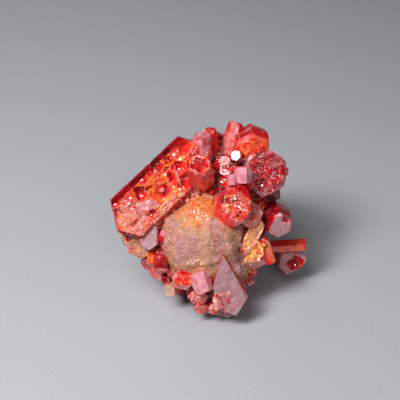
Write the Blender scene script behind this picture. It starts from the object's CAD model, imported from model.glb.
import math
import random

import bmesh
import bpy
from mathutils import Matrix, Vector, noise
from mathutils.bvhtree import BVHTree


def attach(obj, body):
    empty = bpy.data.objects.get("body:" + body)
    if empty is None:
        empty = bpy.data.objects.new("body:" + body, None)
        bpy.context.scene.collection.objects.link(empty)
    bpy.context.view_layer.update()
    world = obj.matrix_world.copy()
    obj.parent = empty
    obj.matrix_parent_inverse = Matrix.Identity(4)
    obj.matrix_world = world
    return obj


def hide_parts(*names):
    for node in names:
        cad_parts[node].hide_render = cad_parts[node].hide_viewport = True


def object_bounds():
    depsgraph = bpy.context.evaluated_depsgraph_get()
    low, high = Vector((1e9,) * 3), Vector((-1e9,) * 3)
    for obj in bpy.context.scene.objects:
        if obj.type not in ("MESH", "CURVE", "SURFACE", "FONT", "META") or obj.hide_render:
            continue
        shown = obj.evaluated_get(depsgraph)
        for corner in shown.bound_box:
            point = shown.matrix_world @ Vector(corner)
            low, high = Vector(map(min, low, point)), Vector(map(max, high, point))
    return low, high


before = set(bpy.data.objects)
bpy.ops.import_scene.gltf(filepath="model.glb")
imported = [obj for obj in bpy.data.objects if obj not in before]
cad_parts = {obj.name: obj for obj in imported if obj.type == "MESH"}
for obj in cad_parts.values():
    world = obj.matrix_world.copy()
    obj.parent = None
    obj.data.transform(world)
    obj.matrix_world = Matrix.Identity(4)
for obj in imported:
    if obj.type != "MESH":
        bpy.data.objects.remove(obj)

# Vanadinite on matrix. Shapes are worked out in millimetres, and restsOn brings them into the frame.

cadBox = [list(corner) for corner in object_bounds()]
lowCorner, highCorner = Vector(cadBox[0]), Vector(cadBox[1])
specimen = {
    "height": 22.33,        # millimetres, foot to tip
    "leanBack": 35.0,       # degrees that the display face leans back
    "heartUp": 11.5,        # middle of the crystal ball above the base
    "heartBack": 1.0,
}
mm = (highCorner.z - lowCorner.z) / specimen["height"]
restsOn = Matrix.Translation((0, 0, lowCorner.z)) @ Matrix.Scale(mm, 4)
heart = Vector((0, specimen["heartBack"], specimen["heartUp"]))
displayFace = Matrix.Translation(heart) @ Matrix.Rotation(math.radians(-specimen["leanBack"]), 4, "X")
faceShare = math.cos(math.radians(30))      # flat-to-flat over corner-to-corner of a hexagon


# small helpers

def clamp(value):
    return max(0.0, min(1.0, value))


def ease(value):
    value = clamp(value)
    return value * value * (3 - 2 * value)


def mixed(a, b, share):
    return a + (b - a) * share


def wander(point, size, seed=0.0):
    return noise.noise(Vector(point) / size + Vector((seed, seed * 1.7, -seed)))


def heading(degrees):
    return Vector((math.cos(math.radians(degrees)), math.sin(math.radians(degrees)), 0))


def turned(place, degreesX, degreesY, degreesZ):
    for degrees, axis in ((degreesX, "X"), (degreesY, "Y"), (degreesZ, "Z")):
        place = place @ Matrix.Rotation(math.radians(degrees), 4, axis)
    return place


def stray(rng, spread=1.0):
    return Vector([rng.gauss(0, spread) for _ in range(3)])


def placed(at, aim, spin):
    # right, outward and up on the display face, the turn and lift of the axis, then the spin about it
    turn, lift = math.radians(aim[0]), math.radians(aim[1])
    axis = Vector((math.sin(turn) * math.cos(lift), -math.cos(turn) * math.cos(lift), math.sin(lift)))
    level = Vector((0, 0, 1)).cross(axis).normalized()
    side = Matrix.Rotation(math.radians(spin), 3, axis) @ level
    basis = Matrix((side, axis.cross(side), axis)).transposed().to_4x4()
    return displayFace @ Matrix.Translation((at[0], -at[1], at[2])) @ basis


def standing(spot, axis, spin):
    # a seat at the spot for a part modelled upright, turned about its axis by an angle in radians
    upright = axis.to_track_quat("Z", "Y").to_matrix().to_4x4() @ Matrix.Rotation(spin, 4, "Z")
    return Matrix.Translation(spot) @ upright


def newPart():
    bm = bmesh.new()
    layersOf(bm)
    return bm


def layersOf(bm):
    return [bm.verts.layers.float.get(name) or bm.verts.layers.float.new(name) for name in ("tone", "bloom")]


def paint(bm, verts, tone, bloom=0.0):
    toneLayer, bloomLayer = layersOf(bm)
    for v in verts:
        v[toneLayer] = tone
        v[bloomLayer] = bloom


def sliceOff(bm, point, normal, weld=0.0):
    # cuts away what lies beyond a plane, and gives the points and edges of the cut
    return bmesh.ops.bisect_plane(bm, geom=bm.verts[:] + bm.edges[:] + bm.faces[:], dist=weld,
                                  plane_co=point, plane_no=normal, clear_outer=True)["geom_cut"]


def closeCut(bm, cut):
    bmesh.ops.holes_fill(bm, edges=[g for g in cut if isinstance(g, bmesh.types.BMEdge)], sides=0)


def keepAboveBase(bm):
    if min(v.co.z for v in bm.verts) < 0:
        closeCut(bm, sliceOff(bm, (0, 0, 0.001), (0, 0, -1)))


def crease(bm, degrees):
    for face in bm.faces:
        face.smooth = True
    limit = math.radians(degrees)
    for edge in bm.edges:
        edge.smooth = edge.is_manifold and edge.calc_face_angle(0) < limit


def meshOf(bm, name):
    mesh = bpy.data.meshes.new(name)
    bm.to_mesh(mesh)
    bm.free()
    return mesh


def setOut(name, data):
    made = bpy.data.objects.new(name, data)
    bpy.context.scene.collection.objects.link(made)
    return made


def finishPiece(bm, name, material, slotName, nodes=(), degrees=24):
    bmesh.ops.delete(bm, geom=[v for v in bm.verts if not v.link_faces], context="VERTS")
    bmesh.ops.transform(bm, matrix=restsOn, verts=bm.verts)
    crease(bm, degrees)
    piece = setOut(name, meshOf(bm, name))
    piece.data.materials.append(material)
    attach(piece, "root")
    if nodes:
        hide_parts(*nodes)
    return piece


def addTo(bm, part, matrix=Matrix()):
    # joins a part modelled in its own place to the piece, and frees the part
    bmesh.ops.transform(part, matrix=matrix, verts=part.verts)
    mesh = meshOf(part, "part")
    layersOf(bm)
    bm.from_mesh(mesh)
    bpy.data.meshes.remove(mesh)


# materials

def linear(hexColour):
    values = [int(hexColour[i:i + 2], 16) / 255 for i in (1, 3, 5)]
    return [v / 12.92 if v <= 0.04045 else ((v + 0.055) / 1.055) ** 2.4 for v in values] + [1.0]


class Nodes:
    def __init__(self, name):
        self.material = bpy.data.materials.new(name)
        self.material.use_nodes = True
        self.tree = self.material.node_tree
        self.tree.nodes.clear()
        self.shader = self.add("ShaderNodeBsdfPrincipled")
        output = self.add("ShaderNodeOutputMaterial")
        self.join(self.shader.outputs["BSDF"], output.inputs["Surface"])
        self.place = self.add("ShaderNodeTexCoord").outputs["Object"]

    def add(self, kind, **settings):
        node = self.tree.nodes.new(kind)
        for key, value in settings.items():
            setattr(node, key, value)
        return node

    def join(self, source, target):
        self.tree.links.new(source, target)

    def give(self, finish, value):
        # what varies over the surface is linked, and what does not is set on the shader's own socket
        if isinstance(value, bpy.types.NodeSocket):
            self.join(value, self.shader.inputs[finish])
        else:
            self.shader.inputs[finish].default_value = value

    def attribute(self, name):
        return self.add("ShaderNodeAttribute", attribute_name=name).outputs["Fac"]

    def noise(self, size, detail, rough=0.55):
        # size in millimetres
        node = self.add("ShaderNodeTexNoise")
        self.join(self.place, node.inputs["Vector"])
        node.inputs["Scale"].default_value = 1 / (size * mm)
        node.inputs["Detail"].default_value = detail
        node.inputs["Roughness"].default_value = rough
        return node.outputs["Fac"]

    def patchy(self, size, detail, low, high, between=(0.3, 0.7), rough=0.55):
        # soft patches of one size, from one value to another
        return self.spread(self.noise(size, detail, rough), *between, low, high)

    def math(self, operation, a, b=0.0, clamped=False):
        node = self.add("ShaderNodeMath", operation=operation, use_clamp=clamped)
        for value, socket in ((a, node.inputs[0]), (b, node.inputs[1])):
            if isinstance(value, (int, float)):
                socket.default_value = value
            else:
                self.join(value, socket)
        return node.outputs[0]

    def spread(self, value, low, high, newLow=0.0, newHigh=1.0):
        node = self.add("ShaderNodeMapRange")
        self.join(value, node.inputs["Value"])
        for key, number in (("From Min", low), ("From Max", high), ("To Min", newLow), ("To Max", newHigh)):
            node.inputs[key].default_value = number
        return node.outputs["Result"]

    def ramp(self, value, stops):
        node = self.add("ShaderNodeValToRGB")
        self.join(value, node.inputs["Fac"])
        elements = node.color_ramp.elements
        while len(elements) < len(stops):
            elements.new(0.5)
        for element, (position, colour) in zip(elements, stops):
            element.position = position
            element.color = linear(colour)
        return node.outputs["Color"]

    def blend(self, share, a, b):
        node = self.add("ShaderNodeMix", data_type="RGBA")
        self.join(share, node.inputs["Factor"])
        for value, socket in ((a, node.inputs[6]), (b, node.inputs[7])):
            if isinstance(value, str):
                socket.default_value = linear(value)
            else:
                self.join(value, socket)
        return node.outputs[2]

    def skin(self, layers, rough=0.55):
        # bumps, each over the one before: size, detail, height and strength
        normal = None
        for size, detail, height, strength in layers:
            node = self.add("ShaderNodeBump")
            self.join(self.noise(size, detail, rough), node.inputs["Height"])
            node.inputs["Distance"].default_value = height * mm
            node.inputs["Strength"].default_value = strength
            if normal:
                self.join(normal, node.inputs["Normal"])
            normal = node.outputs["Normal"]
        self.give("Normal", normal)


crystalFinish = {
    "ior": 1.78,
    "polish": 0.13,
    "dull": 0.4,
    "mottle": (1.1, 4, -0.12, 0.12),        # size and detail of the patches, then what they add to the tone
    "fleck": (0.22, 3, -0.1, 0.1),
    "bloomPatch": (0.7, 4, -0.28, 0.22),
    "grain": (0.12, 2, -0.05, 0.05),
    "glow": 0.15,                # light that the red lets through
    "glowColour": (1.0, 0.25, 0.12),
    "glowReach": 0.4,            # millimetres
    "skin": [(0.09, 2, 0.02, 0.35), (0.5, 3, 0.05, 0.3)],
    "tones": [(0.0, "#400208"), (0.2, "#90060f"), (0.42, "#cc0e1a"), (0.58, "#e62622"),
              (0.73, "#f25c2a"), (0.87, "#fa9c40"), (1.0, "#fdd07c")],
}


def crystalMaterial(name, bloomColours):
    # tone runs from dark red to pale orange, and bloom is the dull pale film over it
    n = Nodes(name)
    mottle, fleck = n.patchy(*crystalFinish["mottle"]), n.patchy(*crystalFinish["fleck"])
    tone = n.math("ADD", n.math("ADD", n.attribute("tone"), mottle), fleck)
    patches = n.patchy(*crystalFinish["bloomPatch"], between=(0.35, 0.65), rough=0.6)
    bloom = n.spread(n.math("ADD", n.attribute("bloom"), patches), 0.2, 0.8)
    shade = n.ramp(n.noise(0.9, 3), [(0.35, bloomColours[0]), (0.65, bloomColours[1])])
    n.give("Base Color", n.blend(bloom, n.ramp(tone, crystalFinish["tones"]), shade))
    dullness = n.spread(bloom, 0.0, 1.0, crystalFinish["polish"], crystalFinish["dull"])
    n.give("Roughness", n.math("ADD", dullness, n.patchy(*crystalFinish["grain"]), clamped=True))
    n.give("IOR", crystalFinish["ior"])
    n.give("Subsurface Weight", crystalFinish["glow"])
    n.give("Subsurface Radius", crystalFinish["glowColour"])
    n.give("Subsurface Scale", crystalFinish["glowReach"] * mm)
    n.skin(crystalFinish["skin"])
    return n.material


def sparkMaterial(name, finish):
    n = Nodes(name)
    n.give("Base Color", n.ramp(n.attribute("tone"), finish["colours"]))
    n.give("Roughness", n.patchy(*finish["dullness"]))
    n.give("IOR", finish["ior"])
    n.skin(finish["skin"])
    return n.material


crystalMaterials = {
    "red_crystal": crystalMaterial("vanadiniteRed", ("#d06a70", "#e89a94")),
    "rose_crystal": crystalMaterial("vanadiniteRose", ("#cc6674", "#e89ca6")),
    "orange_crystal": crystalMaterial("vanadiniteOrange", ("#d87868", "#eaa69a")),
    "lilac_crystal": crystalMaterial("vanadiniteLilac", ("#a87474", "#b88c94")),
    "tan_crystal": crystalMaterial("vanadiniteTan", ("#c09070", "#dcb89c")),
}
print("materials made")


# crystals

crystalBuild = {
    "cell": 0.13,           # millimetres between the points of an end face
    "leastCells": 7,        # cells across the radius of a small one
    "weld": 0.12,           # points nearer a cut than this share of a cell are moved onto it
    "rim": 0.07,            # bevel round an end face
    "rimBand": 0.1,         # width of the rim's own tone
    "uneven": 0.05,         # how far a side plane may stand in or out
    "sideStray": (0.1, 0.2),        # by how much the sides differ in tone and in bloom
    "ringStep": 0.36,       # growth lines on the sides
    "ringStray": 0.006,
    "sideWaver": 0.035,
    "foot": 0.86,
    "waver": [(1.0, 0.28, 3), (0.35, 0.1, 9)],      # size, reach and seed of the waves in an outline
    "brink": (1.06, 0.16),  # where the pale edge of a hollow runs and how wide it is, as shares of its reach
    "terrace": 0.16,        # height of a growth step inside a hollow
    "terraced": 0.5,        # 0 for smooth hollows, 1 for stepped ones
    "rimLand": 0.16,        # flat land between the rim and the hollows
}
plainCrystal = {
    # tone runs from 0, dark red, to 1, pale orange, and bloom from 0, glossy, to 1, dull and pale
    "tone": 0.42, "bloom": 0.25,
    "rimTone": 0.62, "rimBloom": 0.35,
    "sideTone": 0.3, "sideBloom": 0.22,
    "ridgeTone": 0.3,       # how much paler the edge of a hollow is
    "stretch": 0.0,         # makes a plate, longer one way
    "taper": 0.97,
    "lumps": 0.05,
    "chips": 3,
    "sprouts": 0,           # side crystals
    "hollows": (), "facets": (), "cuts": (), "druse": (), "limits": (),
}


def prism(at, aim, spin, radius, length, **looks):
    # at, aim and spin as in placed; looks are any of the values above
    return {**plainCrystal, "at": at, "aim": aim, "spin": spin, "radius": radius, "length": length, **looks}


def patch(at, reach, **looks):
    # middle, reach both ways, degrees turned, and number of sides, or 0 for a round one
    reach = reach if isinstance(reach, tuple) else (reach, reach)
    return {"at": at, "reach": reach, "turn": 0, "sides": 0, **looks}


def hollowAt(at, reach, depth, tone, **looks):
    # the wall is a share of the reach, and warm is its tone
    return {"wall": 0.42, **patch(at, reach, depth=depth, tone=tone, **looks)}


def facetAt(at, reach, **looks):
    return {"slope": 0.0, "fade": 0.2, **patch(at, reach, **looks)}


def druseAt(at, reach, tries, size, **looks):
    return {"lean": 18, **patch(at, reach, tries=tries, size=size, **looks)}


def cutAt(azimuth, tilt, depth, tone, bloom):
    return {"azimuth": azimuth, "tilt": tilt, "depth": depth, "tone": tone, "bloom": bloom}


def reachOf(point, form):
    # a place measured along a form's first direction, and its share of the way to the form's edge
    turn = math.radians(form["turn"])
    dx, dy = point[0] - form["at"][0], point[1] - form["at"][1]
    x = (dx * math.cos(turn) + dy * math.sin(turn)) / form["reach"][0]
    y = (-dx * math.sin(turn) + dy * math.cos(turn)) / form["reach"][1]
    if not form["sides"]:
        return x, math.hypot(x, y)
    step = 2 * math.pi / form["sides"]
    return x, max(x * math.cos(step * k) + y * math.sin(step * k) for k in range(form["sides"]))


def wavered(point, seed):
    # moves a place a little, so that outlines are not straight
    return [point[way] + sum(wander((point[0], point[1], layer + 3 * way), size, seed) * reach
                             for size, reach, layer in crystalBuild["waver"]) for way in (0, 1)]


def relief(point, crystal, seed, edge):
    # height, tone and bloom of one point of an end face
    moved = wavered(point, seed)
    tone, bloom = crystal["tone"], crystal["bloom"]
    brinkAt, brinkWidth = crystalBuild["brink"]
    deepest, brink = 0.0, 0.0
    for hollow in crystal["hollows"]:
        _, away = reachOf(moved, hollow)
        share = ease((1 - away) / hollow["wall"])
        brink = max(brink, math.exp(-((away - brinkAt) / brinkWidth) ** 2))
        depth = hollow["depth"] * share
        if depth > deepest:
            deepest = depth
            wallTone = mixed(crystal["tone"], hollow.get("warm", crystal["tone"]), ease(share * 4))
            tone = mixed(wallTone, hollow["tone"], ease(share * 2 - 0.7))
            bloom = mixed(crystal["bloom"], 0.0, ease(share * 2))
    tone += brink * (1 - ease(deepest / 0.3)) * crystal["ridgeTone"]
    step = crystalBuild["terrace"]
    level = deepest / step
    stepped = (math.floor(level) + ease((level - math.floor(level)) * 1.8 - 0.4)) * step
    height = -mixed(deepest, stepped, crystalBuild["terraced"])
    for facet in crystal["facets"]:
        x, away = reachOf(moved, facet)
        share = ease((1 - away) / facet["fade"])
        if "rise" in facet:
            height = mixed(height, facet["rise"] + facet["slope"] * x, share)
        tone = mixed(tone, facet.get("tone", tone), share)
        bloom = mixed(bloom, facet.get("bloom", bloom), share)
    height *= ease(edge / crystalBuild["rimLand"])
    height += sum(lump * wander((point[0], point[1], layer), size, seed)
                  for lump, size, layer in ((crystal["lumps"], 0.55, 1), (crystal["lumps"] * 0.5, 0.2, 2)))
    return height, tone, bloom


def chip(bm, cut):
    # slices a corner or an edge off, gives the new face its own tone, and tells what is left of the end face
    azimuth, tilt = math.radians(cut["azimuth"]), math.radians(cut["tilt"])
    normal = Vector((math.sin(tilt) * math.cos(azimuth), math.sin(tilt) * math.sin(azimuth), math.cos(tilt)))
    offset = max(v.co.dot(normal) for v in bm.verts) - cut["depth"]
    made = sliceOff(bm, normal * offset, normal)
    closeCut(bm, made)
    paint(bm, [g for g in made if isinstance(g, bmesh.types.BMVert)], cut["tone"], cut["bloom"])
    return heading(cut["azimuth"]), offset / math.sin(tilt)


def looseChips(rng, crystal):
    # a few small corners that grew away from the ideal prism
    return [cutAt(60 * rng.randrange(6) + 30 * rng.randrange(2) + rng.gauss(0, 6), rng.uniform(28, 62),
                  crystal["radius"] * rng.uniform(0.06, 0.2), rng.uniform(0.25, 0.6),
                  rng.random() ** 2 * 0.8) for _ in range(crystal["chips"])]


def growCrystal(crystal, seed):
    # one six-sided prism with its end face at z = 0, axis +Z; the sides carry growth lines
    rng = random.Random(seed)
    radius, length, stretch = crystal["radius"], crystal["length"], crystal["stretch"]
    rim = crystalBuild["rim"]
    cell = crystal.get("cell", min(crystalBuild["cell"], radius / crystalBuild["leastCells"]))
    rimRadius = radius * crystal["taper"]
    faceRadius = rimRadius - rim
    planes = []
    for k in range(6):
        normal = heading(60 * k)
        apothem = faceRadius * faceShare * (1 - rng.uniform(0, crystalBuild["uneven"]))
        planes.append((normal, apothem + abs(normal.y) * stretch / 2))
    planes += [(heading(azimuth), offset) for azimuth, offset in crystal["limits"]]
    bm = newPart()
    toneLayer, bloomLayer = layersOf(bm)
    wide, tall = faceRadius, faceRadius + stretch / 2
    bmesh.ops.create_grid(bm, x_segments=math.ceil(2 * wide / cell), y_segments=math.ceil(2 * tall / cell),
                          size=1, matrix=Matrix.Diagonal((wide, tall, 1, 1)))
    for normal, offset in planes:
        sliceOff(bm, normal * offset, normal, cell * crystalBuild["weld"])
    capVerts = bm.verts[:]
    toneStray, bloomStray = crystalBuild["sideStray"]
    sideBloom = [clamp(crystal["sideBloom"] + rng.uniform(-bloomStray, bloomStray)) for _ in range(6)]
    sideTone = [crystal["sideTone"] + rng.uniform(-toneStray, toneStray) for _ in range(6)]

    # rings of the sides, from the bevelled rim to the buried foot
    rings = [(-rim, 1 + rim / faceRadius)]
    count = max(3, math.ceil(length / crystalBuild["ringStep"]))
    for i in range(1, count + 1):
        share = i / count
        if share < 0.5:
            swell = mixed(rimRadius, radius, ease(share * 2))
        else:
            swell = mixed(radius, radius * crystalBuild["foot"], ease(share * 2 - 1))
        uneven = 1 + rng.uniform(-crystalBuild["ringStray"], crystalBuild["ringStray"])
        rings.append((-rim - (length - rim) * share, swell / faceRadius * uneven))
    edges = [e for e in bm.edges if e.is_boundary]
    sideVerts = []
    last, lastHeight = 1.0, 0.0
    for height, factor in rings:
        made = bmesh.ops.extrude_edge_only(bm, edges=edges)["geom"]
        verts = [g for g in made if isinstance(g, bmesh.types.BMVert)]
        edges = [g for g in made if isinstance(g, bmesh.types.BMEdge) and g.is_boundary]
        for v in verts:
            # a plate's straight middle stays as long as it is, and only the ends taper
            straight = math.copysign(stretch / 2, v.co.y) if abs(v.co.y) > stretch / 2 else v.co.y
            if stretch == 0:
                straight = 0.0
            v.co.x *= factor / last
            v.co.y = straight + (v.co.y - straight) * factor / last
            v.co.z += height - lastHeight
        last, lastHeight = factor, height
        sideVerts += verts
    bmesh.ops.holes_fill(bm, edges=edges, sides=0)

    # colour and relief
    for v in capVerts:
        edge = min(offset - v.co.dot(normal) for normal, offset in planes)
        height, tone, bloom = relief(v.co, crystal, seed * 0.37, edge)
        inner = ease(edge / crystalBuild["rimBand"])
        v[toneLayer] = mixed(crystal["rimTone"], tone, inner)
        v[bloomLayer] = mixed(crystal["rimBloom"], bloom, inner)
        v.co.z += height * inner
    for v in sideVerts:
        facing = max(range(6), key=lambda k: planes[k][0].dot(v.co) / planes[k][1])
        v[toneLayer] = sideTone[facing] + 0.1 * wander(v.co, 1.3, seed)
        v[bloomLayer] = sideBloom[facing] + 0.12 * wander(v.co, 0.9, seed + 4)
        v.co += planes[facing][0] * crystalBuild["sideWaver"] * wander(v.co, 1.1, seed + 8)
    planes += [chip(bm, cut) for cut in [*crystal["cuts"], *looseChips(rng, crystal)]]
    bmesh.ops.recalc_face_normals(bm, faces=bm.faces)
    return bm, planes


def bud(bm, matrix, size, tall, tone, bloom):
    # a tiny prism; gives its top face, which is bevelled later
    made = bmesh.ops.create_cone(bm, cap_ends=True, segments=6, radius1=size * 0.9, radius2=size,
                                 depth=tall, matrix=matrix)["verts"]
    paint(bm, made, tone, bloom)
    ends = {f for v in made for f in v.link_faces if len(f.verts) == 6}
    outward = matrix.to_3x3() @ Vector((0, 0, 1))
    return max(ends, key=lambda f: f.calc_center_median().dot(outward))


def bevelTops(bm, tops, width):
    for top, size in tops:
        bmesh.ops.inset_region(bm, faces=[top], thickness=size * width, depth=size * 0.12)


drusyBed = {
    "tall": 2.4,            # of its own size
    "proud": 0.5,           # how far a small prism stands out, of its own size
    "apart": 0.8,
    "fromEdge": 0.7,
    "paler": 0.1,
    "stray": 0.4,           # how much tone and bloom differ from one to the next
    "bevel": 0.22,
}


def sprinkle(bm, crystal, planes, seed):
    # druse on an end face: small prisms seated in it, where the crystal says
    for zoneNumber, zone in enumerate(crystal["druse"]):
        rng = random.Random(seed * 31 + zoneNumber)
        seats = []
        tops = []
        part = newPart()
        reachX, reachY = zone["reach"]
        for _ in range(zone["tries"]):
            x, y = rng.uniform(-1, 1), rng.uniform(-1, 1)
            size = mixed(*zone["size"], rng.random() ** 2)
            leanX, leanY, spin = rng.gauss(0, zone["lean"]), rng.gauss(0, zone["lean"]), rng.uniform(0, 60)
            colour = rng.random()
            shine = rng.random()
            point = Vector((zone["at"][0] + x * reachX, zone["at"][1] + y * reachY, 0))
            edge = min(offset - point.dot(normal) for normal, offset in planes)
            if math.hypot(x, y) > 1 or edge < size * drusyBed["fromEdge"]:
                continue
            if any((point - seat).length < (size + other) * drusyBed["apart"] for seat, other in seats):
                continue
            seats.append((point, size))
            height, tone, bloom = relief(point, crystal, seed * 0.37, edge)
            tall = size * drusyBed["tall"]
            up = height + size * drusyBed["proud"] - tall / 2
            tone = zone.get("tone", tone + drusyBed["paler"]) + (colour - 0.5) * drusyBed["stray"]
            bloom = zone.get("bloom", bloom) + (shine - 0.5) * drusyBed["stray"]
            matrix = turned(Matrix.Translation((point.x, point.y, up)), leanX, leanY, spin)
            tops.append((bud(part, matrix, size, tall, tone, bloom), size))
        bevelTops(part, tops, drusyBed["bevel"])
        addTo(bm, part)


sprouting = {
    "radius": (0.13, 0.32),     # share of the parent's
    "least": 0.26,
    "drop": (-0.05, 0.5),       # how far below the parent's end face, in parent radii
    "sunk": 0.35,               # share of its radius that stays inside the parent's side
    "length": 4,                # of its radius
    "cells": 4,
    "askew": 5,                 # degrees
    "taper": (0.8, 0.97),
    "toneStray": 0.2,
    "sideTone": (0.25, 0.6),
}


def growSprouts(bm, crystal, seed):
    # side crystals in parallel growth round a crystal's rim
    rng = random.Random(seed * 17 + 5)
    radius, askew = crystal["radius"], sprouting["askew"]
    for number in range(crystal["sprouts"]):
        angle = rng.uniform(0, 2 * math.pi)
        small = max(sprouting["least"], radius * rng.uniform(*sprouting["radius"]))
        drop = radius * rng.uniform(*sprouting["drop"])
        reach = radius * crystal["taper"] * faceShare - small * sprouting["sunk"]
        at = Vector((math.cos(angle) * reach, math.sin(angle) * reach, -drop))
        at.y += math.copysign(crystal["stretch"] / 2, at.y) * rng.random() ** 0.3
        tilts = rng.gauss(0, askew), rng.gauss(0, askew), 60 * rng.randrange(2) + rng.gauss(0, askew)
        child = {**plainCrystal, "radius": small, "length": small * sprouting["length"],
                 "cell": small / sprouting["cells"], "taper": rng.uniform(*sprouting["taper"]),
                 "tone": crystal["tone"] + rng.uniform(-sprouting["toneStray"], sprouting["toneStray"]),
                 "bloom": rng.random() ** 2 * 0.8, "sideTone": rng.uniform(*sprouting["sideTone"]),
                 "sideBloom": rng.random() ** 2 * 0.7, "lumps": 0.02}
        part, _ = growCrystal(child, seed * 3 + number)
        addTo(bm, part, turned(Matrix.Translation(at), *tilts))


def growPiece(node, piece, seed):
    bm = newPart()
    for number, crystal in enumerate(piece["crystals"]):
        part, planes = growCrystal(crystal, seed + number)
        sprinkle(part, crystal, planes, seed + number)
        growSprouts(part, crystal, seed + number)
        addTo(bm, part, placed(crystal["at"], crystal["aim"], crystal["spin"]))
    keepAboveBase(bm)
    first, *others = node.split("_")
    name = first + "".join(word.capitalize() for word in others)
    return finishPiece(bm, name, crystalMaterials[piece["slot"]], piece["slot"], [node])


# the crystals of the display face and of the back, each under its node's name

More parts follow.
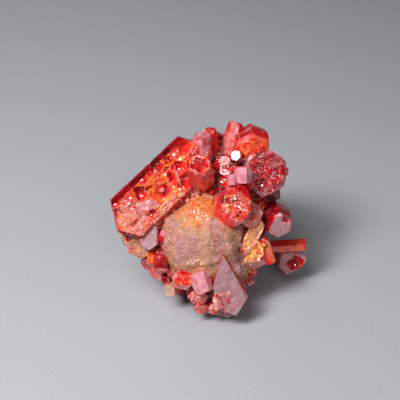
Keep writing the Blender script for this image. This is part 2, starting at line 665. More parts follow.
pieces = {
    "hopper_plate": {"slot": "red_crystal", "crystals": [
        prism((-6.0, 5.6, 2.3), (9, -9), -46, 3.95, 2.3, stretch=8, tone=0.56, bloom=0.14, rimTone=0.5,
            rimBloom=0.5, lumps=0.2, ridgeTone=0.2, chips=0,
            cuts=[cutAt(180, 52, 0.36, 0.1, 0.0), cutAt(0, 48, 0.5, 0.3, 0.1)],
            hollows=[hollowAt((0.5, -0.2), (1.95, 1.8), 0.9, 0.5, warm=0.74, wall=0.95),
                hollowAt((-1.3, -2.3), (0.82, 1.0), 1.05, 0.46, turn=16, sides=3, warm=0.84, wall=0.4),
                hollowAt((-0.2, 1.7), (1.5, 0.55), 0.7, 0.36, turn=-22, wall=0.9),
                hollowAt((1.8, -3.0), (0.8, 1.5), 0.7, 0.3, turn=-35, wall=0.7),
                hollowAt((-1.9, 5.5), (1.0, 1.1), 0.8, 0.58, turn=25, sides=5, warm=0.7, wall=0.7),
                hollowAt((1.2, 2.8), (0.8, 1.7), 0.6, 0.45, turn=10, wall=0.7),
                hollowAt((-0.7, 3.3), (0.6, 1.2), 0.7, 0.42, turn=-20, wall=0.7),
                hollowAt((-2.3, 1.5), (0.55, 0.6), 0.5, 0.3, sides=4, warm=0.7),
                hollowAt((-2.0, 2.9), 0.6, 0.6, 0.3, sides=5, turn=30),
                hollowAt((-2.6, 0.3), (0.45, 0.6), 0.5, 0.36, sides=4, turn=20),
                hollowAt((-1.4, 1.9), (0.4, 0.5), 0.4, 0.4, warm=0.8),
                hollowAt((-1.5, -6.2), (0.6, 0.7), 0.6, 0.4, sides=4, warm=0.7),
                hollowAt((0.9, -5.5), (0.5, 0.9), 0.6, 0.2, turn=10, wall=0.8),
                hollowAt((0.9, 5.3), (0.8, 1.1), 0.9, 0.3, sides=5, warm=0.6)],
            facets=[facetAt((0.6, -5.9), (2.9, 1.9), fade=0.5, tone=0.84, bloom=0.6),
                facetAt((0.9, 4.2), (1.6, 2.2), fade=0.8, tone=0.5, bloom=0.5),
                facetAt((0.2, -2.85), (1.75, 0.7), turn=46, rise=-0.05, slope=0.1, tone=0.56, bloom=0.85),
                facetAt((0.7, -4.1), (1.15, 0.45), turn=3, rise=-0.3, slope=-0.2, bloom=0.9),
                facetAt((0.25, 2.45), (1.6, 0.24), turn=-25, rise=0.16, tone=0.6, bloom=0.75),
                facetAt((0.2, -0.25), (0.42, 0.5), rise=-0.3, slope=0.15, tone=0.6, bloom=0.6),
                facetAt((-1.55, -0.7), (0.42, 1.2), turn=8, rise=-0.1, slope=-0.2, tone=0.76, bloom=0.15),
                facetAt((-1.2, 4.2), (0.36, 0.5), rise=-0.05, slope=0.25, tone=0.86, bloom=0.0),
                facetAt((2.3, -1.4), (0.7, 3.3), rise=0.05, tone=0.72, bloom=0.55),
                facetAt((2.45, 0.9), (0.4, 0.8), rise=0.1, tone=0.9, bloom=0.05),
                facetAt((-2.9, 4.6), (0.2, 1.2), turn=-8, rise=0.14, tone=0.5, bloom=0.8)],
            druse=[druseAt((-1.5, -5.0), (0.9, 1.1), 130, (0.08, 0.22), tone=0.6, bloom=0.9),
                druseAt((2.0, -1.2), (0.8, 3.2), 360, (0.1, 0.26), tone=0.8, bloom=0.5),
                druseAt((1.9, -5.2), (1.1, 1.5), 150, (0.08, 0.24), tone=0.6, bloom=0.5),
                druseAt((-1.9, 2.4), (1.0, 1.8), 130, (0.06, 0.16), tone=0.62, bloom=0.3),
                druseAt((0.5, 5.9), (1.4, 1.2), 90, (0.08, 0.2), tone=0.5, bloom=0.3)]),
        prism((-6.6, 4.3, 1.3), (9, -9), -46, 3.9, 2.4, stretch=6.4, sideTone=0.2, sideBloom=0.1,
            chips=0)]},
    "crown_barrel": {"slot": "orange_crystal", "crystals": [
        prism((-1.4, 7.8, 5.2), (-4, 26), 10, 1.95, 5.2, taper=0.86, tone=0.42, bloom=0.4, rimTone=0.15,
            rimBloom=0.0, sideTone=0.56, sideBloom=0.35, chips=1,
            cuts=[cutAt(270, 50, 0.35, 0.45, 0.4)],
            hollows=[hollowAt((0, 0), 1.1, 0.3, 0.34, sides=6)],
            druse=[druseAt((0, 0), 1.4, 240, (0.09, 0.24))])]},
    "mirror_prism": {"slot": "red_crystal", "crystals": [
        prism((3.1, 6.9, 6.3), (-17, 13), 14, 0.78, 3.2, tone=0.6, bloom=0.4, rimBloom=0.4,
            sideTone=0.15, lumps=0.0, chips=1),
        prism((1.7, 6.4, 5.7), (-16, 24), 30, 0.85, 3.0, tone=0.5, bloom=0.9, sprouts=5,
            druse=[druseAt((0, 0), 0.8, 60, (0.07, 0.2), bloom=0.9)]),
        prism((2.6, 6.0, 4.9), (-6, 30), 10, 0.8, 3.0, tone=0.5, bloom=0.2, sprouts=5)]},
    "small_cube": {"slot": "rose_crystal", "crystals": [
        prism((4.0, 7.0, 4.9), (-10, 84), 30, 1.2, 2.0, tone=0.45, bloom=1.0, sideBloom=1.0,
            sideTone=0.5, chips=1),
        prism((2.7, 7.0, 4.0), (-10, 80), 30, 0.8, 1.3, bloom=1.0, sideBloom=1.0, chips=1),
        prism((1.9, 6.0, 4.6), (-10, 16), 0, 0.95, 2.8, tone=0.45, bloom=0.2, sprouts=4,
            druse=[druseAt((0, 0), 0.8, 60, (0.08, 0.2))]),
        prism((1.7, 5.6, 3.1), (-20, 0), 20, 0.85, 2.8, tone=0.4, bloom=0.1, sprouts=4,
            druse=[druseAt((0, 0), 0.8, 60, (0.08, 0.2))]),
        prism((2.6, 6.1, 2.1), (0, 20), 10, 0.8, 2.8, tone=0.46, bloom=0.1, sprouts=4),
        prism((3.4, 6.5, 2.9), (-90, 60), 20, 0.75, 2.4, tone=0.5, bloom=0.1, sideTone=0.45,
            sideBloom=0.05),
        prism((4.9, 6.7, 2.6), (10, -20), 0, 0.8, 2.4, taper=0.8, tone=0.45, bloom=0.0, sideTone=0.4,
            sideBloom=0.0, chips=6)]},
    "centre_barrel": {"slot": "red_crystal", "crystals": [
        prism((2.9, 7.6, -0.3), (6, -6), -6, 2.75, 4.0, taper=0.92, tone=0.52, bloom=0.12, rimTone=0.48,
            rimBloom=0.15, lumps=0.12, sideTone=0.42, sideBloom=0.3, sprouts=4,
            cuts=[cutAt(250, 40, 0.5, 0.5, 0.1), cutAt(190, 45, 0.4, 0.5, 0.1)],
            hollows=[hollowAt((0.2, 0.6), (1.4, 1.1), 0.35, 0.44, wall=0.7),
                hollowAt((0.9, -0.7), 0.7, 0.4, 0.6, sides=5),
                hollowAt((-1.1, 0.9), 0.6, 0.5, 0.25, sides=4)],
            druse=[druseAt((0.5, 0.4), (2.2, 2.0), 520, (0.09, 0.27), tone=0.66, bloom=0.4)])]},
    "crest_block": {"slot": "rose_crystal", "crystals": [
        prism((-1.1, 5.2, 9.0), (-8, 68), 8, 1.4, 4.6, tone=0.4, bloom=0.8, sideTone=0.42,
            sideBloom=0.55, sprouts=4),
        prism((-2.4, 5.6, 7.4), (-20, 30), 0, 1.1, 3.4, tone=0.4, bloom=0.3,
            hollows=[hollowAt((0, 0), 0.6, 0.4, 0.2, sides=6)])]},
    "crest_thumb": {"slot": "red_crystal", "crystals": [
        prism((0.1, 3.8, 9.9), (16, 72), 0, 1.15, 4.8, taper=0.66, tone=0.3, bloom=0.1, sideTone=0.5,
            sideBloom=0.1)]},
    "top_barrel": {"slot": "red_crystal", "crystals": [
        prism((5.5, 4.2, 7.2), (6, -34), 8, 2.55, 3.0, taper=0.94, tone=0.6, bloom=0.0, sideTone=0.4,
            sideBloom=0.0, rimTone=0.64, lumps=0.06, chips=1,
            hollows=[hollowAt((-1.0, -0.2), (1.2, 1.0), 1.1, 0.46, sides=5, warm=0.74)],
            facets=[facetAt((1.5, 0.2), (0.35, 1.3), turn=20, rise=0.08, tone=0.7, bloom=0.1)],
            druse=[druseAt((-0.4, -1.2), (1.6, 0.7), 60, (0.1, 0.24))]),
        prism((5.3, 5.3, 6.8), (18, -12), 40, 1.3, 4.0, stretch=0.6, tone=0.7, bloom=0.1, rimTone=0.74,
            rimBloom=0.1, sideTone=0.62, sideBloom=0.0, chips=3, lumps=0.1),
        prism((3.4, 2.4, 10.8), (64, 74), 22, 1.25, 5.0, taper=0.84, tone=0.45, bloom=0.5, sideTone=0.42,
            sideBloom=0.5, sprouts=3)]},
    "druse_barrel": {"slot": "rose_crystal", "crystals": [
        prism((6.9, 5.0, 4.3), (12, -4), -4, 3.55, 6.4, taper=0.92, tone=0.26, bloom=0.2, rimTone=0.28,
            rimBloom=0.4, sideTone=0.26, sideBloom=0.5, lumps=0.16, chips=0, sprouts=7,
            cuts=[cutAt(60 * k + 30, 38, 0.42, 0.3, 0.55) for k in range(6)],
            hollows=[hollowAt((-0.8, 0.6), (0.8, 0.6), 0.35, 0.2, sides=5),
                hollowAt((1.1, -0.5), 0.7, 0.3, 0.2, sides=5),
                hollowAt((-0.4, -1.4), (0.8, 0.6), 0.3, 0.2)],
            druse=[druseAt((-0.4, -0.1), 2.6, 1100, (0.09, 0.26), lean=26, tone=0.36, bloom=0.4)])]},
    "right_prism": {"slot": "lilac_crystal", "crystals": [
        prism((8.8, 3.4, -2.5), (6, -22), 0, 2.1, 6.4, taper=0.85, tone=0.42, bloom=0.9, rimBloom=0.7,
            sideTone=0.16, sideBloom=0.05, hollows=[hollowAt((0.8, 0.8), 0.5, 0.3, 0.3, sides=4)],
            druse=[druseAt((0, 0), 1.5, 160, (0.07, 0.18))])]},
    "brown_barrel": {"slot": "orange_crystal", "crystals": [
        prism((5.6, 5.6, -1.7), (34, -24), 4, 2.0, 5.0, taper=0.8, tone=0.6, bloom=0.62, sideTone=0.5,
            sideBloom=0.6, rimTone=0.6, lumps=0.16, chips=2,
            cuts=[cutAt(60 * k, 36, 0.3, 0.6, 0.6) for k in range(6)]),
        prism((5.3, 4.6, -3.9), (14, -8), -26, 1.05, 4.0, stretch=3.0, tone=0.86, bloom=0.5,
            sideTone=0.78, sideBloom=0.5, rimTone=0.9, lumps=0.24, chips=4,
            druse=[druseAt((0.1, 0), (0.7, 1.9), 110, (0.05, 0.12), tone=0.92)])]},
    "far_plate": {"slot": "red_crystal", "crystals": [
        prism((12.8, -1.6, -5.1), (80, 4), 30, 0.95, 6.0, tone=0.4, bloom=0.8, sideTone=0.66,
            sideBloom=0.2)]},
    "far_hexagon": {"slot": "lilac_crystal", "crystals": [
        prism((11.1, -2.4, -7.5), (14, -6), -73, 1.85, 4.4, stretch=0.6, tone=0.45, bloom=0.75,
            rimBloom=0.85, sideBloom=0.5,
            hollows=[hollowAt((0.3, 0.35), (1.0, 1.2), 0.7, 0.25, sides=5)],
            druse=[druseAt((0.3, 0.4), (1.0, 1.2), 120, (0.08, 0.22), tone=0.4, bloom=0.2)])]},
    "orange_prism": {"slot": "orange_crystal", "crystals": [
        prism((5.7, 4.3, -6.3), (14, -10), 10, 2.3, 5.4, tone=0.84, bloom=0.42, rimTone=0.9,
            rimBloom=0.2, sideTone=0.74, sideBloom=0.4, lumps=0.14, sprouts=5,
            cuts=[cutAt(165, 42, 0.6, 0.9, 0.35), cutAt(262, 44, 0.9, 0.6, 0.8),
                cutAt(30, 40, 0.4, 0.72, 0.2)],
            hollows=[hollowAt((0.5, 0.7), (0.5, 1.0), 0.2, 0.74, turn=12, warm=0.92)],
            facets=[facetAt((0.5, -0.6), (0.4, 0.5), rise=0.12, tone=0.5, bloom=0.3)]),
        prism((6.7, 3.2, -4.1), (-70, 70), 0, 0.9, 3.4, taper=0.8, tone=0.85, bloom=0.1, sideTone=0.72,
            sideBloom=0.25),
        prism((5.4, 3.8, -4.2), (-40, 50), 20, 0.75, 3.6, tone=0.9, bloom=0.1, sideTone=0.82,
            sideBloom=0.15)]},
    "front_cube": {"slot": "rose_crystal", "crystals": [
        prism((-1.6, 5.4, -8.2), (-90, 70), 0, 1.3, 2.7, tone=0.5, bloom=1.0, sideTone=0.5,
            sideBloom=0.95, chips=1)]},
    "front_orange": {"slot": "orange_crystal", "crystals": [
        prism((-3.4, 5.7, -9.3), (4, -2), 14, 1.4, 3.6, tone=0.62, bloom=0.1, rimBloom=0.2,
            sideTone=0.55, sideBloom=0.8, sprouts=4, cuts=[cutAt(256, 48, 0.45, 0.55, 0.95)],
            druse=[druseAt((0, 0), 1.1, 110, (0.08, 0.22))])]},
    "front_small": {"slot": "orange_crystal", "crystals": [
        prism((0.7, 4.6, -11.0), (-70, 78), 0, 0.66, 2.0, tone=0.8, sideBloom=0.6)]},
    "front_plate": {"slot": "lilac_crystal", "crystals": [
        prism((1.4, 2.7, -11.5), (-4, -16), 18, 3.4, 3.2, tone=0.5, bloom=0.95, rimTone=0.5,
            rimBloom=0.9, sideTone=0.4, sideBloom=0.8, lumps=0.08, chips=1,
            cuts=[cutAt(330, 40, 0.3, 0.5, 0.7)],
            druse=[druseAt((-0.9, 1.2), (1.6, 1.4), 260, (0.06, 0.18), bloom=0.7),
                druseAt((-1.3, -1.6), 1.3, 130, (0.14, 0.42), tone=0.45, bloom=0.3, lean=35)]),
        prism((2.2, 5.5, -9.9), (-4, -20), 13, 2.45, 3.4, stretch=4.2,
            limits=[(14, 1.35), (150, 1.77), (317, 2.98)], lumps=0.1, chips=0, tone=0.4, bloom=0.95,
            rimTone=0.55, rimBloom=0.7, sideTone=0.5, sideBloom=0.4,
            cuts=[cutAt(0, 40, 0.25, 0.5, 0.75)],
            druse=[druseAt((-0.4, 1.6), (1.6, 2.2), 420, (0.05, 0.13)),
                druseAt((-0.9, -2.2), (1.3, 1.5), 120, (0.1, 0.3), tone=0.6, bloom=0.4, lean=30)]),
        prism((2.2, 4.0, -12.0), (20, -10), 20, 0.6, 2.4, tone=0.6, bloom=0.4)]},
    "front_wedge": {"slot": "red_crystal", "crystals": [
        prism((-1.6, 4.2, -11.5), (-8, -18), 22, 1.4, 3.6, tone=0.34, bloom=0.5, sprouts=6,
            druse=[druseAt((0, 0), 1.3, 160, (0.12, 0.34), tone=0.5, lean=36)]),
        prism((-1.2, 3.2, -13.2), (2, -30), 0, 0.95, 2.8, tone=0.56, bloom=0.5, sprouts=6,
            druse=[druseAt((0, 0), 0.8, 60, (0.12, 0.3), tone=0.62, lean=36)]),
        prism((0.4, 3.6, -13.2), (2, -30), 20, 0.8, 2.8, tone=0.66, bloom=0.3, sprouts=6,
            druse=[druseAt((0, 0), 0.7, 50, (0.12, 0.3), tone=0.7, lean=36)])]},
    "left_stack": {"slot": "lilac_crystal", "crystals": [
        prism((-7.9, 4.4, -3.8), (-6, -4), 4, 1.55, 4.0, stretch=0.7, tone=0.45, bloom=1.1, rimBloom=1.1,
            sideTone=0.3, sideBloom=0.7),
        prism((-10.4, 2.4, -3.9), (-30, -16), 20, 1.9, 4.6, tone=0.84, bloom=0.6, rimTone=0.9,
            sideTone=0.7, sideBloom=0.5, sprouts=5,
            hollows=[hollowAt((0, 0), 0.9, 0.6, 0.25, sides=6)],
            druse=[druseAt((0, 0), 1.5, 120, (0.08, 0.26), tone=0.9)]),
        prism((-9.4, 2.2, -5.6), (-24, -30), 4, 1.8, 4.6, tone=0.84, bloom=0.5, rimTone=0.9,
            sideTone=0.65, sideBloom=0.4, sprouts=5,
            druse=[druseAt((0, 0), 1.5, 160, (0.08, 0.26), tone=0.86)])]},
    "left_foot_crystals": {"slot": "red_crystal", "crystals": [
        prism((-6.9, 2.0, -8.6), (-20, -24), 10, 1.2, 3.6, tone=0.42, bloom=0.4),
        prism((-8.4, 0.8, -7.5), (-44, -20), 30, 1.1, 3.4, tone=0.3, bloom=0.2),
        prism((-6.2, 3.6, -8.4), (0, -72), 8, 1.0, 4.6, tone=0.5, bloom=0.4, sideTone=0.3, sideBloom=0.1),
        prism((-7.6, 2.6, -7.6), (-30, -62), 20, 0.8, 4.0, tone=0.5, bloom=0.6, sideTone=0.72,
            sideBloom=0.2, sprouts=3)]},
    "tan_block": {"slot": "tan_crystal", "crystals": [
        prism((-5.2, 2.2, -10.9), (-16, -22), 24, 1.05, 3.4, tone=0.7, bloom=1.0, sideTone=0.6,
            sideBloom=0.95),
        prism((-5.8, 2.4, -9.6), (-10, -10), 0, 0.6, 2.6, tone=0.2, bloom=0.1)]},
    "back_plate": {"slot": "red_crystal", "crystals": [
        prism((-1.2, -8.4, 2.6), (176, 6), 20, 3.2, 3.0, tone=0.36, bloom=0.25,
            hollows=[hollowAt((0, 0.3), (1.8, 1.7), 0.9, 0.2, sides=6)],
            druse=[druseAt((0, 0), 2.6, 260, (0.1, 0.3))]),
        prism((-2.6, -8.0, 0.4), (192, -4), 6, 2.2, 3.0, tone=0.4, bloom=0.35)]},
    "back_crest_barrel": {"slot": "red_crystal", "crystals": [
        prism((3.4, -3.6, 8.8), (150, 48), 10, 2.2, 5.6, taper=0.9, tone=0.4, bloom=0.25,
            hollows=[hollowAt((0, 0), 1.2, 0.9, 0.2, sides=6)],
            druse=[druseAt((0, 0), 1.8, 160, (0.09, 0.26))])]},
    "back_left_barrel": {"slot": "rose_crystal", "crystals": [
        prism((-7.0, -3.4, 5.2), (-128, 26), 0, 2.4, 5.6, taper=0.9, tone=0.4, bloom=0.4,
            hollows=[hollowAt((0, 0), 1.3, 0.7, 0.2, sides=6)],
            druse=[druseAt((0, 0), 2.0, 200, (0.09, 0.28))]),
        prism((-8.6, -1.6, 2.4), (-104, 8), 20, 1.7, 5.0, tone=0.4, bloom=0.4)]},
    "back_right_barrel": {"slot": "orange_crystal", "crystals": [
        prism((8.4, -4.8, 2.2), (124, 12), 12, 2.6, 5.6, taper=0.9, tone=0.5, bloom=0.3,
            hollows=[hollowAt((0, 0), 1.4, 0.8, 0.35, sides=6)],
            druse=[druseAt((0, 0), 2.2, 260, (0.09, 0.28))])]},
    "back_left_plate": {"slot": "red_crystal", "crystals": [
        prism((-8.4, -4.6, -1.6), (-122, -14), 10, 2.7, 3.6, tone=0.4, bloom=0.3,
            hollows=[hollowAt((0, 0), 1.4, 0.8, 0.2, sides=6)],
            druse=[druseAt((0, 0), 2.3, 200, (0.09, 0.28))]),
        prism((-9.0, -2.6, -4.0), (-100, -24), 0, 1.6, 3.6, tone=0.4, bloom=0.3)]},
    "back_right_prism": {"slot": "red_crystal", "crystals": [
        prism((7.0, -7.6, -1.6), (142, -10), 24, 2.0, 5.6, taper=0.88, tone=0.3, bloom=0.3)]},
    "back_heel": {"slot": "lilac_crystal", "crystals": [
        prism((1.6, -9.2, -1.6), (176, -14), 0, 1.9, 4.4, tone=0.4, bloom=0.7)]},
    "back_small_prism": {"slot": "orange_crystal", "crystals": [
        prism((1.6, -7.6, 5.8), (164, 30), 16, 1.35, 4.0, tone=0.6, bloom=0.3)]},
    "back_corner_prism": {"slot": "rose_crystal", "crystals": [
        prism((4.4, -8.2, 3.0), (158, 16), 0, 1.3, 4.4, tone=0.4, bloom=0.5)]},
}
grown = [growPiece(node, piece, 100 + 10 * number) for number, (node, piece) in enumerate(pieces.items())]
print("crystals grown:", len(grown), "pieces,", sum(len(p.data.polygons) for p in grown), "faces")


# the rock

rock = {
    # middle and half widths of the rounded lumps that the rock is made of
    "lobes": [((-0.6, -3.2, 9.0), (5.7, 5.2, 5.9)), ((0.2, 2.4, 10.2), (7.2, 6.0, 6.6)),
              ((-0.4, 0.2, 3.8), (5.8, 6.2, 5.6)), ((0.4, 4.4, 14.4), (5.8, 4.6, 4.8)),
              ((2.8, -4.2, 6.8), (2.9, 3.2, 4.4)), ((-2.9, -3.5, 7.5), (3.5, 3.7, 3.9))],
    "voxel": 0.15,
    "smoothing": 6,
    "reliefs": [(2.8, 0.6), (1.0, 0.16), (0.34, 0.08)],      # size of a lump and its height
    "frontFrom": 2.5,       # how far out the display face's colours start
    # away from the display face: colour, middle share, stray, size of the patches, seed, strength
    "elsewhere": [("rust", 0.5, 0.9, 3.0, 7, 0.8), ("ochre", 0.4, 0.8, 2.4, 3, 0.6),
                  ("mauve", 0.3, 0.8, 2.2, 9, 0.5)],
    # on the display face: colour, place to the right and up, reach both ways, strength
    "patches": [("ochre", (-1.1, -0.3), (3.6, 2.9), 1.0), ("ochre", (6.0, -4.2), (1.5, 2.2), 0.7),
                ("mauve", (-3.0, -5.1), (2.8, 2.1), 1.0), ("mauve", (3.6, -6.9), (2.1, 3.6), 0.9),
                ("mauve", (4.4, -1.6), (1.9, 1.9), 0.7), ("rust", (4.6, -1.9), (1.0, 1.2), 0.8),
                ("rust", (4.2, -5.4), (0.9, 2.2), 0.55)],
    # long rises and clefts across the dome: colour, start, end, width, height
    "lines": [("rust", (4.6, -2.8), (4.2, -5.6), 0.3, -0.7), ("ochre", (6.3, -2.0), (4.9, -5.6), 0.6, 0.5),
              ("mauve", (-4.6, -2.0), (-6.0, -5.6), 0.5, 0.3),
              ("mauve", (0.6, -2.6), (1.2, -6.4), 0.9, -0.35),
              ("mauve", (-0.4, -7.0), (1.0, -6.8), 0.25, 0.25),
              ("mauve", (2.6, -5.4), (3.6, -8.6), 0.5, 0.35), ("rust", (0.7, 3.8), (1.1, 0.6), 0.35, -1.0)],
    # size, detail and roughness of each colour's patches, then its shades
    "tan": ((0.9, 5, 0.6), [(0.25, "#8c5644"), (0.45, "#ba7e5e"), (0.6, "#ce926c"), (0.8, "#eab88e")]),
    "ochre": ((0.6, 4, 0.6), [(0.3, "#bc3a10"), (0.5, "#d86414"), (0.7, "#ea962e")]),
    "mauve": ((1.2, 4, 0.55), [(0.3, "#a05a56"), (0.5, "#b27878"), (0.7, "#be9296")]),
    "rust": ((0.5, 5, 0.65), [(0.3, "#5c120c"), (0.5, "#982a1c"), (0.7, "#c0523a")]),
    "speck": "#f3cf96",
    "pore": "#4a2216",
    "ior": 1.6,
    "skin": [(0.14, 3, 0.06, 0.8), (0.5, 4, 0.1, 0.5)],
}


def rockMaterial():
    n = Nodes("matrixRock")
    colour = None
    for kind in ("tan", "ochre", "mauve", "rust"):
        grain, shades = rock[kind]
        shade = n.ramp(n.noise(*grain), shades)
        colour = n.blend(n.attribute(kind), colour, shade) if colour else shade
    speck = n.spread(n.noise(0.16, 2), 0.62, 0.7)
    colour = n.blend(n.math("MULTIPLY", speck, 0.55), colour, rock["speck"])
    pore = n.spread(n.noise(0.2, 3), 0.36, 0.28)
    n.give("Base Color", n.blend(n.math("MULTIPLY", pore, 0.7), colour, rock["pore"]))
    n.give("Roughness", n.patchy(0.3, 3, 0.42, 0.75))
    n.give("IOR", rock["ior"])
    n.skin(rock["skin"], 0.6)
    return n.material


def rockSurface():
    bm = bmesh.new()
    for middle, halves in rock["lobes"]:
        bmesh.ops.create_icosphere(bm, subdivisions=6, radius=1,
                                   matrix=Matrix.Translation(middle) @ Matrix.Diagonal((*halves, 1)))
    lump = setOut("lobes", meshOf(bm, "lobes"))
    remesh = lump.modifiers.new("oneSkin", "REMESH")
    remesh.mode = "VOXEL"
    remesh.voxel_size = rock["voxel"]
    skin = bpy.data.meshes.new_from_object(lump.evaluated_get(bpy.context.evaluated_depsgraph_get()))
    bpy.data.objects.remove(lump)
    bm = bmesh.new()
    bm.from_mesh(skin)
    bpy.data.meshes.remove(skin)
    for _ in range(rock["smoothing"]):
        bmesh.ops.smooth_vert(bm, verts=bm.verts, factor=0.5, use_axis_x=True, use_axis_y=True,
                              use_axis_z=True)
    return bm


def nearness(spot, start, end, width, strayed):
    # 1 on the line from start to end, 0 twice its width away
    start, end = Vector(start), Vector(end)
    along = clamp((spot - start).dot(end - start) / (end - start).length_squared)
    return ease(1 - ((spot - start.lerp(end, along)).length + strayed) / width / 2)


def buildRock():
    bm = rockSurface()
    layers = {kind: bm.verts.layers.float.new(kind) for kind in ("ochre", "mauve", "rust")}
    toFace = displayFace.inverted()
    bm.normal_update()
    moves = []
    for v in bm.verts:
        onFace = toFace @ v.co
        right, outward, up = onFace.x, -onFace.y, onFace.z
        front = ease((outward - rock["frontFrom"]) / 2)
        push = sum(height * wander(v.co, size, 5) for size, height in rock["reliefs"])
        for kind, middle, spread, size, seed, strength in rock["elsewhere"]:
            v[layers[kind]] = (1 - front) * ease(middle + spread * wander(v.co, size, seed)) * strength
        for kind, at, reach, strength in rock["patches"]:
            away = math.hypot((right - at[0]) / reach[0], (up - at[1]) / reach[1])
            share = ease(1.25 - away + 0.5 * wander(v.co, 0.9, 4)) * strength * front
            v[layers[kind]] = max(v[layers[kind]], share)
        for kind, start, end, width, rise in rock["lines"]:
            share = nearness(Vector((right, up)), start, end, width, 0.3 * wander(v.co, 0.7, 2)) * front
            push += share * rise
            v[layers[kind]] = max(v[layers[kind]], share)
        moves.append(v.normal * push)
    for v, move in zip(bm.verts, moves):
        v.co += move
    keepAboveBase(bm)
    bmesh.ops.recalc_face_normals(bm, faces=bm.faces)
    return bm


rockMesh = buildRock()
rockCopy = rockMesh.copy()
matrixRock = finishPiece(rockMesh, "matrixRock", rockMaterial(), "rock", ["matrix"], degrees=60)
print("rock built:", len(matrixRock.data.polygons), "faces")


# the coat of tiny crystals on the rock, and the crystals of middling size that crowd round the big ones

coat = {
    "size": (0.14, 0.4),
    "tall": 2.6,            # of its own size
    "sunk": 0.1,
    "apart": 0.62,
    "tries": 16000,
    "lean": 0.45,
    "chunk": 120,           # small parts are joined this many at a time
    "tone": 0.24,
    "bloom": 0.25,
    "bevel": 0.2,
    "lowest": 0.5,
    # the dome that shows plain rock
    "bare": [patch((-0.2, -3.2), (6.2, 4.9)), patch((3.4, -6.4), (2.6, 3.6)),
             patch((-3.2, -6.0), (3.0, 2.6)), patch((0.4, -7.2), (3.4, 1.9)), patch((0.9, 2.4), (0.5, 1.8))],
    "bareOutward": 0.3,
    "bareEdge": 0.12,
}
fillers = {
    "tries": 900,
    "radius": (0.34, 0.95),
    "length": 3.2,          # of its radius
    "cells": 5,
    "lean": 0.35,
    "apart": 0.8,
    "lowest": 1.2,
    "proud": (0.5, 1.1),
    "taper": (0.82, 0.97),
    "hollow": (0.55, 0.4),  # reach and depth, of its radius
    "hollowed": 0.6,        # draws above this one give a hollow end
    "slots": [(0.62, "red_crystal"), (0.8, "orange_crystal"), (1.0, "rose_crystal")],
}


def bareness(point):
    # 1 on the plain dome of the display face, 0 away from it
    onFace = displayFace.inverted() @ point
    away = min(reachOf((onFace.x, onFace.z), form)[1] for form in coat["bare"])
    inside = ease((1 - away + coat["bareEdge"] * wander(point, 1.2, 21)) / coat["bareEdge"])
    return inside * ease((-onFace.y - coat["bareOutward"]) / 1.0)


def drawFace(bm, rng):
    face = bm.faces[rng.randrange(len(bm.faces))]
    return face.calc_center_median(), face.normal


def seatCoat(bm):
    rng = random.Random(77)
    chosen = []
    grid = {}
    for _ in range(coat["tries"]):
        centre, normal = drawFace(bm, rng)
        density = (1 - bareness(centre)) * ease(0.6 + 1.1 * wander(centre, 2.6, 11))
        lean = stray(rng, coat["lean"])
        size = mixed(*coat["size"], rng.random() ** 3)
        tone = coat["tone"] + 0.25 * wander(centre, 1.5, 13) + rng.uniform(-0.15, 0.25)
        bloom = clamp(coat["bloom"] + 0.6 * wander(centre, 1.8, 17) + rng.uniform(-0.15, 0.2))
        spin = rng.uniform(0, math.pi / 3)
        if rng.random() > density or centre.z < coat["lowest"]:
            continue
        key = tuple(math.floor(c / 0.5) for c in centre)
        near = [s for dx in (-1, 0, 1) for dy in (-1, 0, 1) for dz in (-1, 0, 1)
                for s in grid.get((key[0] + dx, key[1] + dy, key[2] + dz), ())]
        if any((centre - seat).length < (size + other) * coat["apart"] for seat, other in near):
            continue
        grid.setdefault(key, []).append((centre, size))
        chosen.append((centre, (normal + lean).normalized(), size, spin, tone, bloom))
    return chosen


def coatPiece(name, seats):
    whole = newPart()
    for first in range(0, len(seats), coat["chunk"]):
        part = newPart()
        tops = []
        for centre, axis, size, spin, tone, bloom in seats[first:first + coat["chunk"]]:
            matrix = standing(centre + axis * size * coat["sunk"], axis, spin)
            tops.append((bud(part, matrix, size, size * coat["tall"], tone, bloom), size))
        bevelTops(part, tops, coat["bevel"])
        keepAboveBase(part)
        addTo(whole, part)
    finishPiece(whole, name, crystalMaterials["red_crystal"], "red_crystal", degrees=10)


def growFillers(bm):
    rng = random.Random(55)
    groups = {slotName: newPart() for _, slotName in fillers["slots"]}
    seats = []
    for number in range(fillers["tries"]):
        centre, normal = drawFace(bm, rng)
        radius = mixed(*fillers["radius"], rng.random() ** 1.5)
        lean = stray(rng) * fillers["lean"]
        tone, bloom = rng.uniform(0.25, 0.62), rng.random() ** 2 * 0.7
        draw, spin = rng.random(), rng.uniform(0, 60)
        if rng.random() < bareness(centre) * 1.5 or centre.z < fillers["lowest"]:
            continue
        if any((centre - seat).length < (radius + other) * fillers["apart"] for seat, other in seats):
            continue
        seats.append((centre, radius))
        child = {**plainCrystal, "radius": radius, "length": radius * fillers["length"],
                 "cell": radius / fillers["cells"], "taper": rng.uniform(*fillers["taper"]), "tone": tone,
                 "bloom": bloom, "sideTone": tone + rng.uniform(-0.15, 0.15),
                 "sideBloom": bloom * rng.uniform(0.3, 1.4), "lumps": 0.03}
        if draw > fillers["hollowed"]:
            reach, depth = fillers["hollow"]
            child["hollows"] = [hollowAt((0, 0), radius * reach, radius * depth, tone - 0.2, sides=6)]
        part, _ = growCrystal(child, 900 + number)
        axis = (normal + lean).normalized()
        seat = standing(centre + axis * radius * rng.uniform(*fillers["proud"]), axis, math.radians(spin))
        addTo(groups[next(name for most, name in fillers["slots"] if draw < most)], part, seat)
    for slotName, group in groups.items():
        keepAboveBase(group)
        finishPiece(group, "filler_" + slotName, crystalMaterials[slotName], slotName)
    print("fillers grown:", len(seats))


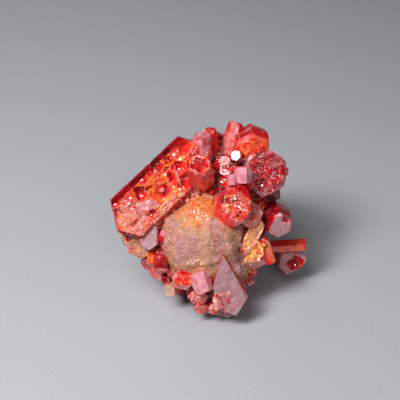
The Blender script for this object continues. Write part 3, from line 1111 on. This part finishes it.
rockCopy.faces.ensure_lookup_table()
growFillers(rockCopy)
rockCopy.normal_update()
coatSeats = seatCoat(rockCopy)
coatPiece("drusyCoatFront", [s for s in coatSeats if s[0].y < 1])
coatPiece("drusyCoatBack", [s for s in coatSeats if s[0].y >= 1])
print("coat laid:", len(coatSeats), "tiny crystals")


# grains that sparkle on the plain dome, and pale glints on the crystals and on the dome

grains = {
    "tries": 42000,
    "size": (0.03, 0.085),
    "tall": 1.4,            # of its own size
    "top": 0.4,
    "chunk": 150,
    "colours": [(0.0, "#4a2416"), (0.15, "#a8603c"), (0.5, "#e09a54"), (0.8, "#f0bc7c"), (1.0, "#fff0d8")],
    "dullness": (0.3, 2, 0.12, 0.35),
    "ior": 1.9,
    "skin": [(0.08, 2, 0.01, 0.3)],
}
glints = {
    "size": (0.045, 0.12),
    "top": 0.7,
    "proud": 0.15,
    "lean": 0.4,
    "lowest": 0.6,
    "colours": [(0.0, "#b8403c"), (0.35, "#e8887c"), (0.7, "#f4c4b4"), (1.0, "#fff4ee")],
    "dullness": (0.4, 2, 0.12, 0.4),
    "ior": 1.8,
    "skin": [(0.1, 2, 0.01, 0.3)],
    "everywhere": {"tries": 1100, "share": 0.5, "spread": 9},
    "from": 40,             # how far off a glint's ray starts
    # middle and reach on the display face, how many, how pale, and how big
    "fields": [((1.7, 5.6), (1.1, 0.9), 110, 0.85, 1.0), ((-9.6, 0.0), (1.5, 1.0), 60, 0.8, 1.0),
               ((-7.4, -1.6), (2.0, 1.5), 80, 0.7, 1.0), ((-3.4, 0.2), (0.8, 1.6), 60, 0.6, 1.0),
               ((-1.7, 6.6), (1.3, 1.1), 50, 0.7, 1.0), ((2.9, 0.2), (1.6, 1.3), 70, 0.75, 1.0),
               ((6.9, 4.4), (2.7, 2.6), 110, 0.3, 1.0), ((4.6, 8.0), (2.0, 0.9), 24, 0.6, 1.0),
               ((-2.0, -1.0), (1.0, 0.7), 26, 0.75, 1.8), ((-0.6, -1.7), (0.9, 0.6), 20, 0.75, 1.8),
               ((1.6, -5.0), (2.4, 2.0), 90, 0.5, 0.6), ((1.4, -7.6), (1.0, 1.8), 80, 0.55, 0.6),
               ((-1.8, -7.0), (1.2, 0.4), 26, 0.7, 1.6), ((-0.6, -12.0), (2.4, 1.6), 90, 0.7, 1.3),
               ((-7.8, -4.8), (2.0, 3.0), 90, 0.7, 1.0)],
}


def laySparks(name, finish, slotName, seats, segments):
    # tiny cones: place, size, top size, height and tone of each
    whole, part = newPart(), newPart()
    laid = 0
    for matrix, size, top, tall, tone in seats:
        made = bmesh.ops.create_cone(part, cap_ends=True, segments=segments, radius1=size, radius2=top,
                                     depth=tall, matrix=matrix)["verts"]
        paint(part, made, tone)
        laid += 1
        if laid % grains["chunk"] == 0:
            addTo(whole, part)
            part = newPart()
    addTo(whole, part)
    finishPiece(whole, name, sparkMaterial(name, finish), slotName, degrees=5)
    print(name, "laid:", laid)


def grainSeats(bm):
    rng = random.Random(31)
    for _ in range(grains["tries"]):
        centre, _ = drawFace(bm, rng)
        size = mixed(*grains["size"], rng.random() ** 2)
        tone, turn = rng.random(), [rng.uniform(0, 2 * math.pi) for _ in range(3)]
        if bareness(centre) < rng.random() * 0.8 + 0.1 or wander(centre, 1.6, 44) < rng.uniform(-0.6, 0.25):
            continue
        place = Matrix.Translation(centre) @ Matrix.Rotation(turn[0], 4, "X")
        place = place @ Matrix.Rotation(turn[1], 4, "Z")
        yield place, size, size * grains["top"], size * grains["tall"], tone


def glintRays(rng):
    # start, direction, tone and size of each glint, in the specimen's frame
    face, far = displayFace.to_3x3(), glints["from"]
    for at, reach, count, pale, big in glints["fields"]:
        for _ in range(count):
            angle, away = rng.uniform(0, 2 * math.pi), math.sqrt(rng.random())
            right = at[0] + math.cos(angle) * away * reach[0]
            up = at[1] + math.sin(angle) * away * reach[1]
            tone = pale + rng.uniform(-0.35, 0.2)
            yield displayFace @ Vector((right, -far, up)), face @ Vector((0, 1, 0)), tone, big
    everywhere = glints["everywhere"]
    for _ in range(everywhere["tries"]):
        way = stray(rng).normalized()
        aside = Vector([rng.uniform(-everywhere["spread"], everywhere["spread"]) for _ in range(3)])
        tone = rng.uniform(0.1, 0.8)
        if way.z > -0.2 and rng.random() < everywhere["share"]:
            yield heart + aside + way * far, -way, tone, 1.0


def glintSeats(bodies):
    rng = random.Random(91)
    toSpecimen = restsOn.inverted()
    trees = [BVHTree.FromObject(body, bpy.context.evaluated_depsgraph_get()) for body in bodies]
    for start, way, tone, big in glintRays(rng):
        size = mixed(*glints["size"], rng.random() ** 2) * big
        lean = stray(rng) * glints["lean"]
        turn = rng.uniform(0, math.pi)
        hits = [tree.ray_cast(restsOn @ start, (restsOn.to_3x3() @ way).normalized()) for tree in trees]
        hits = [hit for hit in hits if hit[0] is not None]
        if not hits:
            continue
        spot, normal, _, _ = min(hits, key=lambda hit: hit[3])
        spot = toSpecimen @ spot
        if spot.z < glints["lowest"] or normal.z < -0.7:
            continue
        axis = (normal + lean).normalized()
        matrix = standing(spot + axis * size * glints["proud"], axis, turn)
        yield matrix, size, size * glints["top"], size, clamp(tone)


laySparks("domeGrains", grains, "rock", grainSeats(rockCopy), 4)
rockCopy.free()
laySparks("paleGlints", glints, "rose_crystal", glintSeats(grown + [matrixRock]), 5)


# floor, light and camera

studio = {
    "floor": 2.4,
    "floorShades": [(0.3, "#a9abb0"), (0.7, "#b9bcc1")],
    "floorGrain": (0.2, 2, 0.01, 0.25),
    "floorRough": 0.75,
    "target": (-1.31, 1.45, 12.15),
    "distance": 124,
    "raised": 35,
    "lens": 85,
    "sensor": 36,
    "skyColour": (0.95, 0.97, 1.0, 1),
    "overhead": 0.055,      # light from straight above, then from the horizon
    "horizon": 0.035,
    # place and size in metres, power
    "lights": {"windowLight": ((-0.09, -0.085, 0.16), (0.055, 0.055), 0.32),
               "ceilingLight": ((-0.05, -0.08, 0.185), (0.08, 0.07), 0.15),
               "frontLight": ((0.05, -0.15, 0.15), (0.10, 0.08), 0.055),
               "backLight": ((-0.09, 0.22, 0.11), (0.12, 0.1), 0.05),
               "sideLight": ((0.30, -0.06, 0.16), (0.10, 0.10), 0.02)},
    "windowColour": (0.98, 0.99, 1.0),
}


def layFloor():
    n = Nodes("paleFloor")
    size, detail, _, _ = studio["floorGrain"]
    n.give("Base Color", n.ramp(n.noise(size, detail, 0.6), studio["floorShades"]))
    n.give("Roughness", studio["floorRough"])
    n.skin([studio["floorGrain"]], 0.6)
    bm = bmesh.new()
    bmesh.ops.create_grid(bm, x_segments=1, y_segments=1, size=studio["floor"] / 2)
    bmesh.ops.translate(bm, verts=bm.verts, vec=(0, 0, lowCorner.z))
    floor = setOut("floor", meshOf(bm, "floor"))
    floor.data.materials.append(n.material)


def pointAt(made, target):
    made.rotation_euler = (target - made.location).to_track_quat("-Z", "Y").to_euler()


def setLights():
    for name, (place, size, power) in studio["lights"].items():
        lamp = bpy.data.lights.new(name, "AREA")
        lamp.shape = "RECTANGLE"
        lamp.size, lamp.size_y = size
        lamp.energy = power
        made = setOut(name, lamp)
        made.location = Vector(place)
        pointAt(made, restsOn @ heart)
    bpy.data.lights["windowLight"].color = studio["windowColour"]


def setCamera():
    lens = bpy.data.cameras.new("camera")
    lens.lens = studio["lens"]
    lens.sensor_width = studio["sensor"]
    lens.clip_start = 0.001
    camera = setOut("camera", lens)
    target = restsOn @ Vector(studio["target"])
    raised = math.radians(studio["raised"])
    camera.location = target + Vector((0, -math.cos(raised), math.sin(raised))) * studio["distance"] * mm
    pointAt(camera, target)
    bpy.context.scene.camera = camera


def lightWorld():
    world = bpy.data.worlds.new("studio")
    world.use_nodes = True
    tree = world.node_tree
    background = tree.nodes["Background"]
    background.inputs["Color"].default_value = studio["skyColour"]
    direction = tree.nodes.new("ShaderNodeTexCoord")
    parts = tree.nodes.new("ShaderNodeSeparateXYZ")
    rise = tree.nodes.new("ShaderNodeMapRange")
    rise.inputs["To Min"].default_value = studio["horizon"]
    rise.inputs["To Max"].default_value = studio["overhead"]
    tree.links.new(direction.outputs["Generated"], parts.inputs["Vector"])
    tree.links.new(parts.outputs["Z"], rise.inputs["Value"])
    tree.links.new(rise.outputs["Result"], background.inputs["Strength"])
    bpy.context.scene.world = world


layFloor()
setLights()
setCamera()
lightWorld()
bpy.context.scene.view_settings.view_transform = "Standard"
print("studio set")
